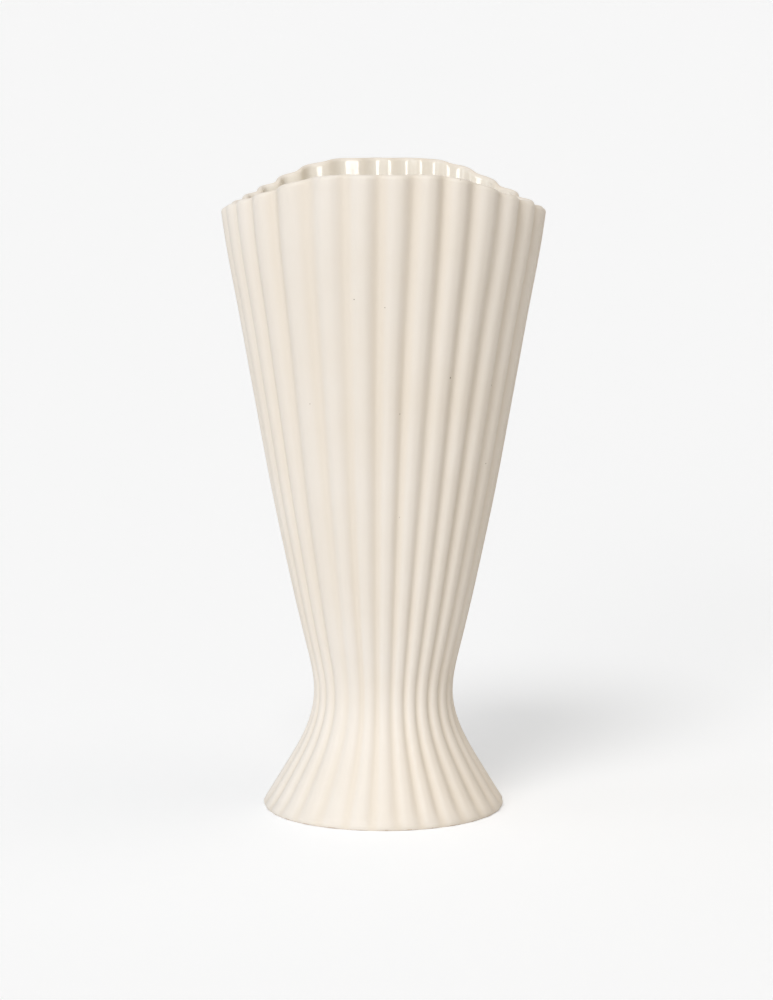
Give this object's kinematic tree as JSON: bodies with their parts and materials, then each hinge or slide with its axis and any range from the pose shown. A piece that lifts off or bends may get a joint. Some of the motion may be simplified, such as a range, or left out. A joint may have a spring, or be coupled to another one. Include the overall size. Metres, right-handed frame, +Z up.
{
  "type": "fan vase",
  "caption": "Footed ceramic vase with soft vertical flutes, a narrow waist, a flared foot and a wide mouth whose rim is arched like a fan; holds cut flowers.",
  "frame": {"origin": "centre of the standing ring, on the surface that the vase stands on", "axes": "+Z up along the vase's axis, -Y to the front, X across the width of the arched rim"},
  "size_m": [0.14, 0.142, 0.28],
  "materials": {
    "satin_stoneware": "satin matte, off-white, with fine specks",
    "bare_stoneware": "bare fired clay",
    "gloss_glaze": "gloss"
  },
  "bodies": {
    "root": {"vase_body": "satin_stoneware", "flared_foot": "satin_stoneware", "base_plate": "bare_stoneware", "inner_glaze": "gloss_glaze"}
  },
  "joints": []
}
